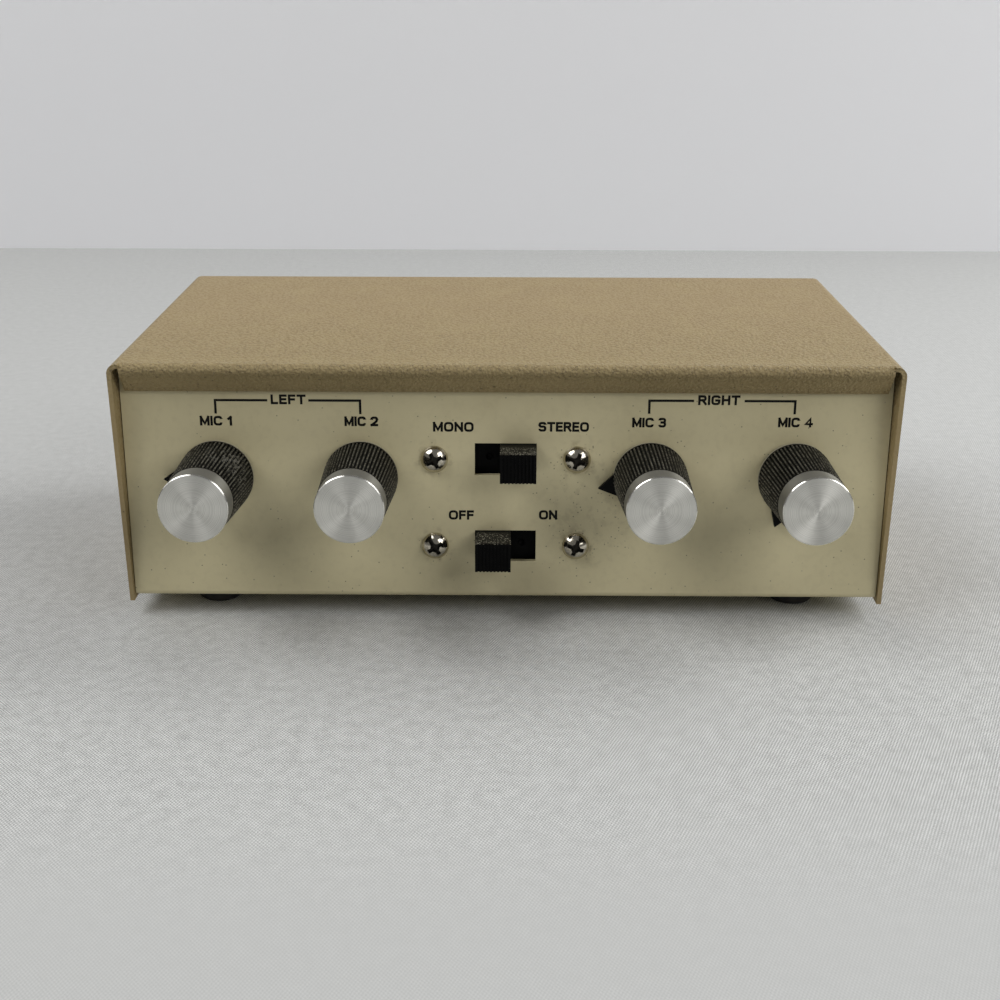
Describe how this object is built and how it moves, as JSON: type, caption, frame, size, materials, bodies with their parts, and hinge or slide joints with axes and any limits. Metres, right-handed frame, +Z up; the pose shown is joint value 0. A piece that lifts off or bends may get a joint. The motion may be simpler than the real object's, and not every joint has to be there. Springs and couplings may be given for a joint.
{
  "type": "microphone mixer",
  "caption": "Desktop microphone mixer: folded metal case with leaning front panel, ribbed pointer knobs with spun metal caps, slide switches, and rear sockets.",
  "frame": {"origin": "centre of the footprint at the level of the feet's undersides", "axes": "+X to the right seen from the front, +Y from the front panel to the rear panel, +Z up"},
  "size_m": [0.1586, 0.1078, 0.054],
  "materials": {
    "cover_paint": "wrinkle-textured tan enamel, slightly worn on its edges",
    "panel_paint": "smooth satin cream enamel with fine specks",
    "knob_plastic": "moulded black, satin",
    "spun_aluminium": "spun face with fine rings and a bright bevel",
    "plated_steel": "zinc-plated sheet and bar",
    "screw_steel": "plated, slightly dulled",
    "nickel": "nickel-plated, polished",
    "brass": "turned",
    "contact_metal": "tinned",
    "phenolic": "laminated paper, matt",
    "switch_plastic": "moulded black with a sandy top face",
    "foot_rubber": "moulded, matt",
    "board_laminate": "tan laminate",
    "transistor_black": "moulded",
    "capacitor_sleeve": "shrunk sleeve",
    "resistor_body": "moulded",
    "battery_jacket": "printed steel jacket left plain",
    "snap_vinyl": "soft vinyl",
    "jack_nylon": "moulded nylon"
  },
  "bodies": {
    "case": {"cover": "cover_paint", "front_panel": "panel_paint", "floor_pan": "panel_paint", "rear_panel": "panel_paint", "pot_bushings": "brass", "pot_washers": "plated_steel", "pot_nuts": "brass", "pot_wafers": "phenolic", "pot_cans": "plated_steel", "pot_lugs": "contact_metal", "switch_brackets": "plated_steel", "switch_housings": "plated_steel", "switch_bases": "phenolic", "switch_lugs": "contact_metal", "switch_screws": "screw_steel", "cover_screws": "screw_steel", "feet": "foot_rubber", "foot_screws": "screw_steel", "foot_nuts": "screw_steel", "board": "board_laminate", "board_spacers": "brass", "board_screws": "screw_steel", "board_nuts": "screw_steel", "transistors": "transistor_black", "capacitors": "capacitor_sleeve", "resistors": "resistor_body", "battery": "battery_jacket", "battery_studs": "plated_steel", "battery_snap": "snap_vinyl", "battery_clip": "plated_steel", "clip_rivet": "plated_steel", "mic_jack_sleeves": "nickel", "mic_jack_washers": "plated_steel", "mic_jack_nuts": "nickel", "mic_jack_frames": "plated_steel", "mic_jack_blocks": "phenolic", "mic_jack_springs": "contact_metal", "line_jack_bodies": "nickel", "line_jack_washers": "phenolic", "line_jack_insulators": "jack_nylon", "line_jack_contacts": "contact_metal", "line_jack_nuts": "nickel"},
    "mic_1_knob": {"knob_mic_1": "knob_plastic", "cap_mic_1": "spun_aluminium", "shaft_mic_1": "plated_steel"},
    "mic_2_knob": {"knob_mic_2": "knob_plastic", "cap_mic_2": "spun_aluminium", "shaft_mic_2": "plated_steel"},
    "mic_3_knob": {"knob_mic_3": "knob_plastic", "cap_mic_3": "spun_aluminium", "shaft_mic_3": "plated_steel"},
    "mic_4_knob": {"knob_mic_4": "knob_plastic", "cap_mic_4": "spun_aluminium", "shaft_mic_4": "plated_steel"},
    "mode_switch": {"mode_slider": "switch_plastic"},
    "power_switch": {"power_slider": "switch_plastic"}
  },
  "joints": [
    {"name": "mic_1_turn", "type": "hinge", "parent": "case", "child": "mic_1_knob", "pos_m": [-0.058, -0.03078, 0.03022], "axis": [0, 0.9969, -0.0785], "range_deg": [-67.5, 232.5]},
    {"name": "mic_2_turn", "type": "hinge", "parent": "case", "child": "mic_2_knob", "pos_m": [-0.029, -0.03078, 0.03022], "axis": [0, 0.9969, -0.0785], "range_deg": [0, 300]},
    {"name": "mic_3_turn", "type": "hinge", "parent": "case", "child": "mic_3_knob", "pos_m": [0.029, -0.03078, 0.03022], "axis": [0, 0.9969, -0.0785], "range_deg": [-59, 241]},
    {"name": "mic_4_turn", "type": "hinge", "parent": "case", "child": "mic_4_knob", "pos_m": [0.058, -0.03078, 0.03022], "axis": [0, 0.9969, -0.0785], "range_deg": [0, 300]},
    {"name": "mode_slide", "type": "slide", "parent": "case", "child": "mode_switch", "axis": [1, 0, 0], "range_m": [-0.0049, 0]},
    {"name": "power_slide", "type": "slide", "parent": "case", "child": "power_switch", "axis": [1, 0, 0], "range_m": [0, 0.0049]}
  ]
}
